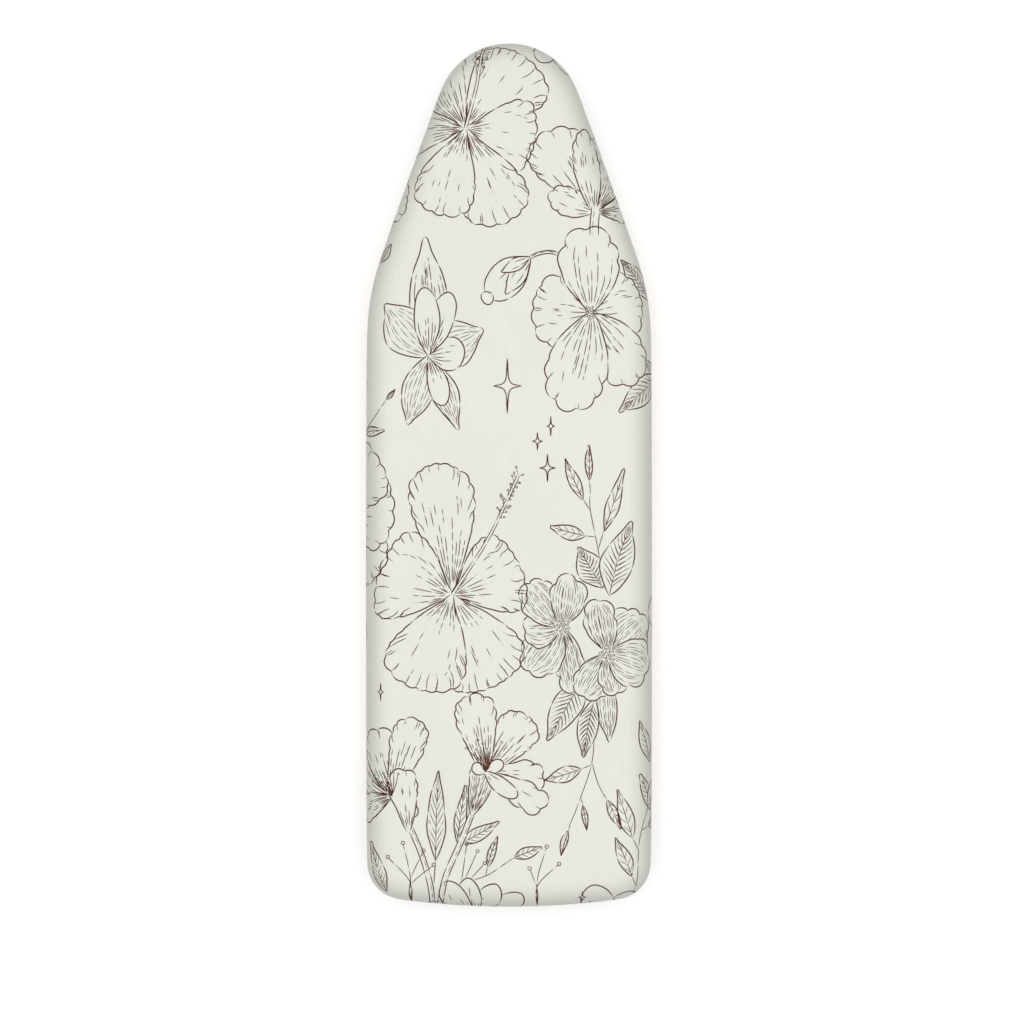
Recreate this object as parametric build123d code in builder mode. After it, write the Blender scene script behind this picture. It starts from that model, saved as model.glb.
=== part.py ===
"""Folding sleeve ironing board: a narrow padded board held over a wooden base by two pressed steel legs.

The legs, the base and the top make a parallelogram, so the top stays level while it swings back and down.
In use the legs lean past upright, towards the nose, and rest on rubber stops; a clamp knob holds them there.
Millimetres. +Y points to the nose, +Z up; the origin is on the table, under the middle of the padded top.
"""

import os
from math import cos, radians, sin, tan

from build123d import *

os.makedirs("parts", exist_ok=True)

# Outline of the covered top, seen from above
top_length = 520.0
top_width = 171.0
nose_radius = 44.0
flank_angle = 19.7  # between a tapering flank and the long axis
shoulder_radius = 150.0  # where a flank turns into a straight side
corner_radius = 22.0
heel_radius = 500.0  # the heel is bowed a little

# Layers of the top, from below
board_thickness = 12.0
felt_thickness = 3.0
foam_thickness = 8.0
foam_skirt = 4.0  # foam pulled down round the board's edge
cover_thickness = 1.0
layer_gap = 0.1  # between one soft layer and the next
top_edge_radius = 12.0
under_edge_radius = 5.0
board_edge_radius = 1.5

# Hem of the cover, on the underside
cover_wrap = 22.0  # from the outer edge in to the hem
hem_width = 8.0
hem_height = 4.0
hem_wall = 1.0
hem_corner_radius = 30.0  # the elastic cuts the corners
elastic_thickness = 1.2

# Base board and its feet
base_length = 378.0
base_heel_width = 146.0
base_front_width = 108.0
base_corner_radius = 26.0
base_edge_radius = 2.5
base_thickness = 15.0
base_heel_overhang = 32.0  # the top's heel reaches this far behind the base
foot_height = 8.0
foot_radius = 12.0
foot_taper = 2.0
foot_edge_radius = 1.2
foot_inset = 19.0  # foot centre to the base's end and side
recess_gap = 1.0  # round the screw head in a foot's recess

# Hanging hole in the base's heel end
hang_radius = 8.0
eyelet_wall = 1.0
eyelet_flange = 4.0
eyelet_edge_radius = 0.3
eyelet_clearance = 0.1
hang_inset = 27.0  # hole centre to the heel end

# Legs and their pivots
leg_length = 82.0  # pivot to pivot
leg_width = 68.0
leg_depth = 16.0
leg_wall = 1.5
leg_bend_radius = 2.5
lean_angle = 8.0  # past upright, towards the nose
rear_pivot_setback = 110.0  # base's heel end to the rear pivot
leg_spacing = 180.0
pivot_height = 17.0  # pivot to the board that its bracket is screwed to
window_length = 46.0
window_width = 24.0

# Brackets
bracket_wall = 2.0
bracket_length = 40.0
ear_radius = 8.0
ear_gap = 1.0  # leg flange to ear, filled by a washer

# Pins, washers, clips and screws
pin_radius = 3.0
running_clearance = 0.05
side_clearance = 0.1
washer_radius = 7.0
pin_head_radius = 5.0
pin_head_height = 2.0
clip_radius = 5.2
clip_thickness = 0.8
clip_groove_depth = 0.8
clip_mouth = 3.6
pin_tip = 1.4  # pin past its clip
pin_chamfer = 0.7
screw_radius = 1.75
screw_clearance = 0.05
screw_head_radius = 4.0
screw_head_height = 2.2
screw_depth = 9.0  # thread in the wood
screw_tip_gap = 0.5  # from the screw's tip to its hole's end
screw_slot_length = 4.8
screw_slot_width = 1.0
screw_slot_depth = 1.2
screw_x = 27.0
screw_y = 13.0

# Leg stops
stop_width = 40.0
stop_length = 8.0
stop_corner_radius = 2.0
stop_setback = 2.5  # pivot to the near edge of the stop
stop_clearance = 0.15

# Clamp bolt and knob
bolt_head_radius = 6.5
bolt_head_height = 3.2
bolt_head_round = 2.5
bolt_chamfer = 0.8
clamp_washer_radius = 8.0
clamp_washer_thickness = 1.2
knob_core_radius = 9.0
knob_lobe_radius = 4.0
knob_lobe_circle = 8.8
knob_lobes = 5
knob_length = 16.0
knob_edge_radius = 1.2
insert_wall = 2.4
insert_length = 12.0
bolt_engagement = 10.5  # bolt inside the knob
knob_bore_depth = 13.0

# Levels and places that follow
base_top = foot_height + base_thickness
lower_pivot_z = base_top + pivot_height
lean = radians(lean_angle)
upper_pivot_z = lower_pivot_z + leg_length * cos(lean)
board_bottom = upper_pivot_z + pivot_height
board_top = board_bottom + board_thickness
felt_top = board_top + felt_thickness
foam_top = felt_top + foam_thickness
cover_top = foam_top + cover_thickness + layer_gap
cover_bottom = board_bottom - cover_thickness - layer_gap
base_heel_y = -top_length / 2 + base_heel_overhang
base_front_y = base_heel_y + base_length
rear_pivot_y = base_heel_y + rear_pivot_setback
front_pivot_y = rear_pivot_y + leg_spacing
lean_shift = leg_length * sin(lean)
foam_inset = cover_thickness + layer_gap
board_inset = foam_inset + foam_skirt
leg_end = leg_depth / 2  # leg past each pivot
ear_inner = leg_width / 2 + ear_gap
ear_outer = ear_inner + bracket_wall
washer_thickness = ear_gap - 2 * side_clearance


def save(part, name):
    """Labels a finished piece and writes it."""
    part.label = name
    export_step(part, f"parts/{name}.step")


def top_outline(inset, rear_radius=corner_radius):
    """Sketch of the covered top's outline, moved inwards."""
    slope = tan(radians(flank_angle))
    half_width = top_width / 2 - inset
    nose = nose_radius - inset
    apex_y = top_length / 2 - nose_radius + nose / sin(radians(flank_angle))
    shoulder_y = apex_y - half_width / slope
    heel_y = inset - top_length / 2
    heel_bow = heel_radius - inset
    corner_y = heel_y + heel_bow - (heel_bow**2 - half_width**2) ** 0.5
    with BuildSketch() as outline:
        with BuildLine():
            RadiusArc((half_width, corner_y), (-half_width, corner_y), heel_bow)
            Polyline(
                (-half_width, corner_y),
                (-half_width, shoulder_y),
                (0, apex_y),
                (half_width, shoulder_y),
                (half_width, corner_y),
            )
        make_face()
        fillet(outline.vertices().group_by(Axis.Y)[0], rear_radius - inset)
        fillet(outline.vertices().group_by(Axis.Y)[-1], nose)
        fillet(outline.vertices().group_by(Axis.Y)[-2], shoulder_radius - inset)
    return outline.sketch


def layer(inset, bottom, top, upper_radius, lower_radius):
    """Solid of the top's outline between two levels, with rounded rims."""
    with BuildPart() as block:
        with BuildSketch(Plane.XY.offset(bottom)):
            add(top_outline(inset))
        extrude(amount=top - bottom)
        fillet(block.faces().sort_by(Axis.Z)[-1].edges(), upper_radius)
        fillet(block.faces().sort_by(Axis.Z)[0].edges(), lower_radius)
    return block.part


def screw_places(pivot_y):
    """The four screws of the bracket at a pivot."""
    return [(x, pivot_y + y) for x in (-screw_x, screw_x) for y in (-screw_y, screw_y)]


# ---- Padded top ----
top_pivots = (front_pivot_y + lean_shift, rear_pivot_y + lean_shift)

with BuildPart() as top_board:
    with BuildSketch(Plane.XY.offset(board_bottom)):
        add(top_outline(board_inset))
    extrude(amount=board_thickness)
    fillet(top_board.faces().filter_by(Axis.Z).edges(), board_edge_radius)
    with BuildSketch(Plane.XY.offset(board_bottom)):
        for pivot_y in top_pivots:
            with Locations(*screw_places(pivot_y)):
                Circle(screw_radius + screw_clearance)
    extrude(amount=screw_depth + screw_clearance, mode=Mode.SUBTRACT)
save(top_board.part, "top_board")

with BuildPart() as felt_pad:
    with BuildSketch(Plane.XY.offset(board_top + layer_gap)):
        add(top_outline(board_inset + layer_gap))
    extrude(amount=felt_thickness - 2 * layer_gap)
save(felt_pad.part, "felt_pad")

with BuildPart() as foam_pad:
    foam_rim = top_edge_radius - foam_inset
    foam_lower_rim = under_edge_radius - foam_inset
    add(layer(foam_inset, board_bottom, foam_top, foam_rim, foam_lower_rim))
    with BuildSketch(Plane.XY.offset(board_bottom)):
        add(top_outline(board_inset - layer_gap))
    extrude(amount=felt_top - board_bottom, mode=Mode.SUBTRACT)
save(foam_pad.part, "foam_pad")

with BuildPart() as cover:
    add(layer(0, cover_bottom, cover_top, top_edge_radius, under_edge_radius))
    inner_rim = top_edge_radius - cover_thickness
    inner_lower_rim = under_edge_radius - cover_thickness
    add(
        layer(
            cover_thickness,
            cover_bottom + cover_thickness,
            cover_top - cover_thickness,
            inner_rim,
            inner_lower_rim,
        ),
        mode=Mode.SUBTRACT,
    )
    with BuildSketch(Plane.XY.offset(cover_bottom)):
        add(top_outline(cover_wrap, hem_corner_radius + cover_wrap))
    extrude(amount=cover_thickness, mode=Mode.SUBTRACT)
save(cover.part, "cover")


def hem_ring(outer, inner, bottom, top):
    """A ring that follows the hem, between two distances from the cover's edge."""
    with BuildPart() as ring:
        with BuildSketch(Plane.XY.offset(bottom)):
            add(top_outline(outer, hem_corner_radius + cover_wrap))
            add(top_outline(inner, hem_corner_radius + cover_wrap), mode=Mode.SUBTRACT)
        extrude(amount=top - bottom)
    return ring.part


hem_inner = cover_wrap + hem_width
hem_bottom = board_bottom - hem_height
elastic_inset = hem_wall + layer_gap

with BuildPart() as hem_casing:
    add(hem_ring(cover_wrap, hem_inner, hem_bottom, board_bottom - layer_gap))
    add(
        hem_ring(cover_wrap + hem_wall, hem_inner - hem_wall, hem_bottom + hem_wall, board_bottom),
        mode=Mode.SUBTRACT,
    )
save(hem_casing.part, "hem_casing")

with BuildPart() as hem_elastic:
    elastic_bottom = hem_bottom + elastic_inset
    add(
        hem_ring(
            cover_wrap + elastic_inset,
            hem_inner - elastic_inset,
            elastic_bottom,
            elastic_bottom + elastic_thickness,
        )
    )
save(hem_elastic.part, "hem_elastic")


# ---- Base board, feet and hanging eyelet ----
hang_y = base_heel_y + hang_inset
eyelet_radius = hang_radius + eyelet_wall


def base_half_width(y):
    """Half of the base's width at a place along it."""
    share = (y - base_heel_y) / base_length
    return (base_heel_width + share * (base_front_width - base_heel_width)) / 2


foot_spots = {}
for end, foot_y in (("rear", base_heel_y + foot_inset), ("front", base_front_y - foot_inset)):
    for side, sign in (("left", -1), ("right", 1)):
        foot_spots[f"{end}_{side}"] = (sign * (base_half_width(foot_y) - foot_inset), foot_y)

with BuildPart() as base_board:
    with BuildSketch(Plane.XY.offset(foot_height)) as base_plan:
        with BuildLine():
            Polyline(
                (-base_heel_width / 2, base_heel_y),
                (base_heel_width / 2, base_heel_y),
                (base_front_width / 2, base_front_y),
                (-base_front_width / 2, base_front_y),
                close=True,
            )
        make_face()
        fillet(base_plan.vertices(), base_corner_radius)
    extrude(amount=base_thickness)
    fillet(base_board.faces().filter_by(Axis.Z).edges(), base_edge_radius)
    with BuildSketch(Plane.XY.offset(base_top)):
        for pivot_y in (front_pivot_y, rear_pivot_y):
            with Locations(*screw_places(pivot_y)):
                Circle(screw_radius + screw_clearance)
    extrude(amount=-screw_depth - screw_clearance, mode=Mode.SUBTRACT)
    with BuildSketch(Plane.XY.offset(foot_height)):
        with Locations(*foot_spots.values()):
            Circle(screw_radius + screw_clearance)
    extrude(amount=screw_depth + screw_clearance, mode=Mode.SUBTRACT)
    with BuildSketch(Plane.XY.offset(foot_height)):
        with Locations((0, hang_y)):
            Circle(eyelet_radius + eyelet_clearance)
    extrude(amount=base_thickness, mode=Mode.SUBTRACT)
save(base_board.part, "base_board")

with BuildPart() as hang_eyelet:
    for level in (foot_height - eyelet_wall, base_top):
        with BuildSketch(Plane.XY.offset(level)):
            with Locations((0, hang_y)):
                Circle(eyelet_radius + eyelet_flange)
        extrude(amount=eyelet_wall)
    with BuildSketch(Plane.XY.offset(foot_height)):
        with Locations((0, hang_y)):
            Circle(eyelet_radius)
    extrude(amount=base_thickness)
    with BuildSketch(Plane.XY.offset(foot_height - eyelet_wall)):
        with Locations((0, hang_y)):
            Circle(hang_radius)
    extrude(amount=base_thickness + 2 * eyelet_wall, mode=Mode.SUBTRACT)
    rims = hang_eyelet.edges().filter_by(GeomType.CIRCLE)
    fillet(rims.filter_by(lambda rim: rim.radius > eyelet_radius + eyelet_flange / 2), eyelet_edge_radius)
save(hang_eyelet.part, "hang_eyelet")

foot_recess = foot_height / 2
recess_radius = screw_head_radius + recess_gap

for spot, (foot_x, foot_y) in foot_spots.items():
    with BuildPart() as foot:
        with BuildSketch() as sole:
            with Locations((foot_x, foot_y)):
                Circle(foot_radius - foot_taper)
        with BuildSketch(Plane.XY.offset(foot_height)) as crown:
            with Locations((foot_x, foot_y)):
                Circle(foot_radius)
        loft()
        fillet(foot.faces().sort_by(Axis.Z)[0].edges(), foot_edge_radius)
        with BuildSketch():
            with Locations((foot_x, foot_y)):
                Circle(recess_radius)
        extrude(amount=foot_recess, mode=Mode.SUBTRACT)
        with BuildSketch():
            with Locations((foot_x, foot_y)):
                Circle(screw_radius + screw_clearance)
        extrude(amount=foot_height, mode=Mode.SUBTRACT)
    save(foot.part, f"foot_{spot}")


# ---- Screws ----
def pan_head(x, y, seat_z, into):
    """Head of a cross-recess screw, seated at seat_z; its thread points up (1) or down (-1)."""
    with BuildPart() as screw:
        with BuildSketch(Plane.XY.offset(seat_z)):
            with Locations((x, y)):
                Circle(screw_head_radius)
        extrude(amount=-into * screw_head_height)
        crown_face = screw.faces().sort_by(Axis.Z)[0 if into > 0 else -1]
        fillet(crown_face.edges(), screw_head_height / 2)
        with BuildSketch(Plane.XY.offset(seat_z - into * screw_head_height)):
            with Locations((x, y)):
                Rectangle(screw_slot_length, screw_slot_width)
                Rectangle(screw_slot_width, screw_slot_length)
        extrude(amount=into * screw_slot_depth, mode=Mode.SUBTRACT)
    return screw.part


def screw_set(name, places, seat_z, into, grip):
    """Writes a group of equal screws that pass through grip and bite screw_depth into the wood."""
    with BuildPart() as screws:
        for x, y in places:
            add(pan_head(x, y, seat_z, into))
            with BuildSketch(Plane.XY.offset(seat_z)):
                with Locations((x, y)):
                    Circle(screw_radius)
            extrude(amount=into * (grip + screw_depth - screw_tip_gap))
    save(screws.part, name)


screw_set(
    "base_bracket_screws",
    screw_places(front_pivot_y) + screw_places(rear_pivot_y),
    base_top + bracket_wall,
    -1,
    bracket_wall,
)
screw_set(
    "top_bracket_screws",
    screw_places(top_pivots[0]) + screw_places(top_pivots[1]),
    board_bottom - bracket_wall,
    1,
    bracket_wall,
)
screw_set("foot_screws", list(foot_spots.values()), foot_recess, 1, foot_height - foot_recess)


# ---- Brackets ----
def bracket(name, pivot_y, face_z, up):
    """U-shaped bracket on a board's face, its ears standing up (1) or hanging down (-1)."""
    floor_middle = face_z + up * bracket_wall / 2
    pivot_z = face_z + up * pivot_height
    with BuildPart() as u_bracket:
        with BuildSketch(Plane.YZ) as ear:
            with Locations((pivot_y, floor_middle)):
                Rectangle(bracket_length, bracket_wall)
            with Locations((pivot_y, pivot_z)):
                Circle(ear_radius)
            make_hull()
        extrude(amount=ear_outer, both=True)
        bends = u_bracket.edges().filter_by(Axis.Y).sort_by(Axis.Z)
        fillet(bends[:2] if up > 0 else bends[-2:], bracket_wall)
        inside_z = face_z + up * (bracket_wall + pivot_height)
        with Locations((0, pivot_y, inside_z)):
            Box(2 * ear_inner, bracket_length, 2 * pivot_height, mode=Mode.SUBTRACT)
        with BuildSketch(Plane.YZ):
            with Locations((pivot_y, pivot_z)):
                Circle(pin_radius + running_clearance)
        extrude(amount=ear_outer, both=True, mode=Mode.SUBTRACT)
        with BuildSketch(Plane.XY.offset(face_z)):
            with Locations(*screw_places(pivot_y)):
                Circle(screw_radius + screw_clearance)
        extrude(amount=up * bracket_wall, mode=Mode.SUBTRACT)
    save(u_bracket.part, name)


bracket("front_base_bracket", front_pivot_y, base_top, 1)
bracket("rear_base_bracket", rear_pivot_y, base_top, 1)
bracket("front_top_bracket", top_pivots[0], board_bottom, -1)
bracket("rear_top_bracket", top_pivots[1], board_bottom, -1)


# ---- Legs with their washers ----
def leg(name, pivot_y):
    """Pressed channel leg: its web faces the nose and its flanges carry the pivots."""
    foot_point = (0, pivot_y, lower_pivot_z)
    along = (0, sin(lean), cos(lean))
    forward = (0, cos(lean), -sin(lean))
    across = Plane(origin=foot_point, x_dir=(1, 0, 0), z_dir=along)
    side = Plane(origin=foot_point, x_dir=forward, z_dir=(1, 0, 0))
    front = Plane(origin=foot_point, x_dir=(1, 0, 0), z_dir=(0, -cos(lean), sin(lean)))
    full = leg_length + 2 * leg_end
    with BuildPart() as channel:
        with BuildSketch(across.offset(-leg_end)) as shell:
            Rectangle(leg_width, leg_depth)
            fillet(shell.vertices().group_by(Axis(foot_point, forward))[-1], leg_bend_radius)
        extrude(amount=full)
        with BuildSketch(across.offset(-leg_end)) as hollow:
            with Locations((0, -leg_wall)):
                Rectangle(leg_width - 2 * leg_wall, leg_depth)
        extrude(amount=full, mode=Mode.SUBTRACT)
        with BuildSketch(side) as flank:
            with Locations((leg_end / 2, leg_length / 2)):
                Rectangle(leg_end, full)
            with Locations((0, leg_length / 2)):
                SlotCenterToCenter(leg_length, leg_depth, rotation=90)
        extrude(to_extrude=flank.sketch, amount=leg_width, both=True, mode=Mode.INTERSECT)
        with BuildSketch(side) as pivots:
            with Locations((0, 0), (0, leg_length)):
                Circle(pin_radius + running_clearance)
        extrude(to_extrude=pivots.sketch, amount=leg_width, both=True, mode=Mode.SUBTRACT)
        with BuildSketch(front) as window:
            with Locations((0, leg_length / 2)):
                SlotOverall(window_length, window_width, rotation=90)
        extrude(to_extrude=window.sketch, amount=leg_depth, both=True, mode=Mode.SUBTRACT)
    save(channel.part, name)
    with BuildPart() as washers:
        for start in (leg_width / 2 + side_clearance, -leg_width / 2 - side_clearance - washer_thickness):
            with BuildSketch(side.offset(start)) as ring:
                with Locations((0, 0), (0, leg_length)):
                    Circle(washer_radius)
                with Locations((0, 0), (0, leg_length)):
                    Circle(pin_radius + running_clearance, mode=Mode.SUBTRACT)
            extrude(to_extrude=ring.sketch, amount=washer_thickness)
    save(washers.part, f"{name}_washers")


leg("front_leg", front_pivot_y)
leg("rear_leg", rear_pivot_y)


# ---- Leg stops ----
lowest_corner = leg_end * (sin(lean) + cos(lean))
stop_height = pivot_height - bracket_wall - lowest_corner - stop_clearance

for end, pivot_y in (("front", front_pivot_y), ("rear", rear_pivot_y)):
    with BuildPart() as stop:
        with BuildSketch(Plane.XY.offset(base_top + bracket_wall)) as pad:
            with Locations((0, pivot_y + stop_setback + stop_length / 2)):
                Rectangle(stop_width, stop_length)
            fillet(pad.vertices(), stop_corner_radius)
        extrude(amount=stop_height)
    save(stop.part, f"{end}_leg_stop")


# ---- Pivot pins and their clips ----
clip_start = ear_outer + side_clearance
groove_radius = pin_radius - clip_groove_depth


def pivot_pin(name, pivot_y, pivot_z):
    """Headed pin through a bracket and a leg, with a clip on its right end."""
    clip_end = clip_start + clip_thickness
    with BuildPart() as pin:
        with BuildSketch(Plane.YZ.offset(-ear_outer - side_clearance)):
            with Locations((pivot_y, pivot_z)):
                Circle(pin_head_radius)
        extrude(amount=-pin_head_height)
        fillet(pin.faces().sort_by(Axis.X)[0].edges(), pin_head_height / 2)
        with BuildSketch(Plane.YZ.offset(-ear_outer - side_clearance)):
            with Locations((pivot_y, pivot_z)):
                Circle(pin_radius)
        extrude(amount=ear_outer + side_clearance + clip_end + pin_tip)
        chamfer(pin.faces().sort_by(Axis.X)[-1].edges(), pin_chamfer)
        with BuildSketch(Plane.YZ.offset(clip_start - running_clearance)):
            with Locations((pivot_y, pivot_z)):
                Circle(pin_radius)
                Circle(groove_radius, mode=Mode.SUBTRACT)
        extrude(amount=clip_thickness + 2 * running_clearance, mode=Mode.SUBTRACT)
    save(pin.part, f"{name}_pin")
    with BuildPart() as clip:
        with BuildSketch(Plane.YZ.offset(clip_start)):
            with Locations((pivot_y, pivot_z)):
                Circle(clip_radius)
                Circle(groove_radius + running_clearance, mode=Mode.SUBTRACT)
            with Locations((pivot_y, pivot_z - clip_radius / 2)):
                Rectangle(clip_mouth, clip_radius, mode=Mode.SUBTRACT)
        extrude(amount=clip_thickness)
    save(clip.part, f"{name}_clip")


pivot_pin("front_base", front_pivot_y, lower_pivot_z)
pivot_pin("front_top", top_pivots[0], upper_pivot_z)
pivot_pin("rear_top", top_pivots[1], upper_pivot_z)


# ---- Clamp bolt, washer and knob, on the rear lower pivot ----
clamp_pivot = (rear_pivot_y, lower_pivot_z)
knob_start = ear_outer + 2 * side_clearance + clamp_washer_thickness
bolt_end = knob_start + bolt_engagement

with BuildPart() as clamp_bolt:
    with BuildSketch(Plane.YZ.offset(-ear_outer - side_clearance)):
        with Locations(clamp_pivot):
            Circle(bolt_head_radius)
    extrude(amount=-bolt_head_height)
    fillet(clamp_bolt.faces().sort_by(Axis.X)[0].edges(), bolt_head_round)
    with BuildSketch(Plane.YZ.offset(-ear_outer - side_clearance)):
        with Locations(clamp_pivot):
            Circle(pin_radius)
    extrude(amount=ear_outer + side_clearance + bolt_end)
    chamfer(clamp_bolt.faces().sort_by(Axis.X)[-1].edges(), bolt_chamfer)
save(clamp_bolt.part, "clamp_bolt")

with BuildPart() as clamp_washer:
    with BuildSketch(Plane.YZ.offset(ear_outer + side_clearance)):
        with Locations(clamp_pivot):
            Circle(clamp_washer_radius)
            Circle(pin_radius + running_clearance, mode=Mode.SUBTRACT)
    extrude(amount=clamp_washer_thickness)
save(clamp_washer.part, "clamp_washer")

insert_radius = pin_radius + insert_wall

with BuildPart() as knob:
    with BuildSketch(Plane.YZ.offset(knob_start)) as lobes:
        with Locations(clamp_pivot):
            Circle(knob_core_radius)
            with PolarLocations(knob_lobe_circle, knob_lobes):
                Circle(knob_lobe_radius)
    extrude(amount=knob_length)
    fillet(knob.faces().sort_by(Axis.X)[-1].edges(), knob_edge_radius)
    with BuildSketch(Plane.YZ.offset(knob_start)):
        with Locations(clamp_pivot):
            Circle(insert_radius + running_clearance)
    extrude(amount=insert_length, mode=Mode.SUBTRACT)
    with BuildSketch(Plane.YZ.offset(knob_start)):
        with Locations(clamp_pivot):
            Circle(pin_radius + side_clearance)
    extrude(amount=knob_bore_depth, mode=Mode.SUBTRACT)
save(knob.part, "clamp_knob")

with BuildPart() as knob_insert:
    with BuildSketch(Plane.YZ.offset(knob_start)):
        with Locations(clamp_pivot):
            Circle(insert_radius)
            Circle(pin_radius + running_clearance, mode=Mode.SUBTRACT)
    extrude(amount=insert_length - side_clearance)
save(knob_insert.part, "knob_insert")
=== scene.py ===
import math
import random

import bmesh
import bpy
import numpy as np
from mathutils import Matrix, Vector
from mathutils.geometry import convex_hull_2d, delaunay_2d_cdt
from mathutils.kdtree import KDTree


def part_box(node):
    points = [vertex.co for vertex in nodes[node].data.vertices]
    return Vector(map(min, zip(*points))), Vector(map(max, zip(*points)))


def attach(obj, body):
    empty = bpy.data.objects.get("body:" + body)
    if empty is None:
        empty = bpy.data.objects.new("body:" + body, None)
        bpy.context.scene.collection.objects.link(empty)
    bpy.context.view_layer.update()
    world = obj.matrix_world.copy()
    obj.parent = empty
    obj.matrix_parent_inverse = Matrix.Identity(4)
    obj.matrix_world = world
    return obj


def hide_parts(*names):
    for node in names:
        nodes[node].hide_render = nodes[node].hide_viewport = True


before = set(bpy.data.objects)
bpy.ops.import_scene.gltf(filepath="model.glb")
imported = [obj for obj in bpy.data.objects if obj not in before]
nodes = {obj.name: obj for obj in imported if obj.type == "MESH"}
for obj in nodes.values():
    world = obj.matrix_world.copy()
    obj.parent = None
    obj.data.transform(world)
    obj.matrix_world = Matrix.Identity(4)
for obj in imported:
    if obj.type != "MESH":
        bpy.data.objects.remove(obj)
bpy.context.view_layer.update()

scene = bpy.context.scene
MM = 0.001

# ---- Camera and light ----
LENS = 100.0
SENSOR = 36.0
PICTURE_SIDE = 0.617  # metres across the picture at the cover's widest
WIDEST_ABOVE = 0.012  # from the cover's lowest point up to where it is widest
VIEW_CENTRE = (0.0018, -0.0223)
SURROUNDINGS = 0.17

cover_low, cover_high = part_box("cover")


def add_to_scene(name, data):
    thing = bpy.data.objects.new(name, data)
    scene.collection.objects.link(thing)
    return thing


def lamp(name, place, target, size, power):
    """A round soft lamp that faces a point."""
    light = bpy.data.lights.new(name, "AREA")
    light.shape = "DISK"
    light.size = size
    light.energy = power
    thing = add_to_scene(name, light)
    thing.location = place
    thing.rotation_euler = (Vector(target) - Vector(place)).to_track_quat("-Z", "Y").to_euler()


camera = add_to_scene("camera", bpy.data.cameras.new("camera"))
camera.data.lens = LENS
camera.data.sensor_width = SENSOR
camera.data.clip_end = 20.0
camera.location = (*VIEW_CENTRE, cover_low.z + WIDEST_ABOVE + PICTURE_SIDE / SENSOR * LENS)
scene.camera = camera

lamp("overhead_softbox", (0.0, 0.0, 2.6), (0, 0, 0), 0.8, 44.6)
lamp("left_fill", (-2.2, -1.2, 1.7), (0, 0, 0.1), 1.6, 1.8)
lamp("right_fill", (2.0, 1.6, 1.6), (0, 0, 0.1), 1.6, 1.2)

scene.world = bpy.data.worlds.new("studio")
scene.world.use_nodes = True
surroundings = scene.world.node_tree.nodes["Background"].inputs
surroundings["Color"].default_value = (1, 1, 1, 1)
surroundings["Strength"].default_value = SURROUNDINGS
scene.view_settings.view_transform = "Standard"

# ---- Finishes ----


class Finish:
    """A material with short ways to add its texture nodes."""

    def __init__(self, name, colour, roughness, metallic=0.0, specular=0.5):
        self.material = bpy.data.materials.new(name)
        self.material.use_nodes = True
        self.tree = self.material.node_tree
        self.shader = self.tree.nodes["Principled BSDF"]
        self.set("Base Color", (*colour, 1.0))
        self.set("Roughness", roughness)
        self.set("Metallic", metallic)
        self.set("Specular IOR Level", specular)

    def feed(self, node, socket, value):
        """Gives an input a value or another node's output."""
        if isinstance(value, bpy.types.NodeSocket):
            self.tree.links.new(value, node.inputs[socket])
        else:
            node.inputs[socket].default_value = value

    def set(self, socket, value):
        self.feed(self.shader, socket, value)

    def add(self, kind, **values):
        """A node with its settings and its inputs, whose names have _ for a space."""
        node = self.tree.nodes.new("ShaderNode" + kind)
        for key, value in values.items():
            if hasattr(node, key):
                setattr(node, key, value)
            else:
                self.feed(node, key.replace("_", " "), value)
        return node

    def place(self, scale=(1, 1, 1), source="Object"):
        """Coordinates in metres on the piece, or on its cut cloth."""
        where = self.add("TexCoord").outputs[source]
        return self.add("Mapping", Vector=where, Scale=scale).outputs["Vector"]

    def noise(self, scale, detail=3.0, roughness=0.55, distortion=0.0, on=None):
        on = on or self.place()
        kind = dict(Scale=scale, Detail=detail, Roughness=roughness, Distortion=distortion)
        return self.add("TexNoise", Vector=on, **kind).outputs["Fac"]

    def grain(self, scale, *kind, source="Object"):
        """Noise that is finer along some directions."""
        return self.noise(1.0, *kind, on=self.place(scale, source))

    def wave(self, on, scale, direction, distortion, detail, detail_scale):
        kind = dict(Scale=scale, Distortion=distortion, Detail=detail, Detail_Scale=detail_scale)
        return self.add("TexWave", Vector=on, bands_direction=direction, **kind).outputs["Fac"]

    def math(self, operation, a, b=0.0):
        node = self.add("Math", operation=operation)
        self.feed(node, 0, a)
        self.feed(node, 1, b)
        return node.outputs["Value"]

    def ramp(self, value, stops, socket=None):
        """Colours or greys along a value; stops are (place, colour)."""
        node = self.add("ValToRGB", Fac=value)
        marks = node.color_ramp.elements
        while len(marks) < len(stops):
            marks.new(0.5)
        for mark, (at, colour) in zip(marks, stops):
            mark.position = at
            mark.color = (*colour, 1.0) if isinstance(colour, tuple) else (colour, colour, colour, 1.0)
        if socket:
            self.set(socket, node.outputs["Color"])
        return node.outputs["Color"]

    def mix(self, share, a, b, socket=None):
        node = self.add("Mix", data_type="RGBA")
        for index, value in ((0, share), (6, a), (7, b)):
            self.feed(node, index, (*value, 1.0) if isinstance(value, tuple) else value)
        if socket:
            self.set(socket, node.outputs[2])
        return node.outputs[2]

    def bump(self, height, strength, distance):
        node = self.add("Bump", Height=height, Strength=strength, Distance=distance)
        self.set("Normal", node.outputs["Normal"])


CUT_SPAN = 0.7  # metres of cut cloth across its UV square
THREAD = 0.00062  # from one thread of the cotton to the next
PLY = 0.003  # thickness of two plies
WAVE_TURN = 2 * math.pi / 20  # a wave texture's period at scale 1


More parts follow.
